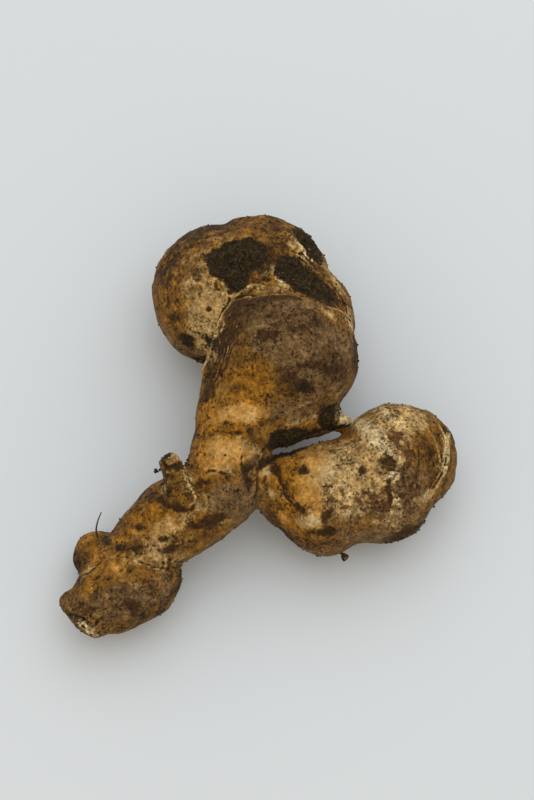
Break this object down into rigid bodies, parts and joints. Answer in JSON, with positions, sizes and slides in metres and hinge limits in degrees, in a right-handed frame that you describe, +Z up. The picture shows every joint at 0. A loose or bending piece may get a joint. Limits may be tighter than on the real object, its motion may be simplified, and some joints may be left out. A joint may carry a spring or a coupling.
{
  "type": "jerusalem artichoke tuber",
  "caption": "Branched, knobbly Jerusalem artichoke tuber as dug, lying on its side with soil cakes and a root hair on its skin.",
  "frame": {"origin": "under the middle of the whole object, on the surface that it lies on", "axes": "+Z up from that surface; +Y from the lower limb towards the crown, the longest way; +X towards the side limb"},
  "size_m": [0.1084, 0.1178, 0.045],
  "materials": {
    "tuber_skin": "dry, dusty tan skin with brown stains and pale bare patches",
    "dug_soil": "crumbly, near-black brown earth with no gloss",
    "root_fibre": "dark dry fibre"
  },
  "bodies": {
    "root": {"tuber": "tuber_skin", "soil_crown": "dug_soil", "soil_shoulder": "dug_soil", "soil_rim": "dug_soil", "soil_heel": "dug_soil", "soil_clod": "dug_soil", "soil_crumb": "dug_soil", "soil_pellet": "dug_soil", "root_hair": "root_fibre"}
  },
  "joints": []
}
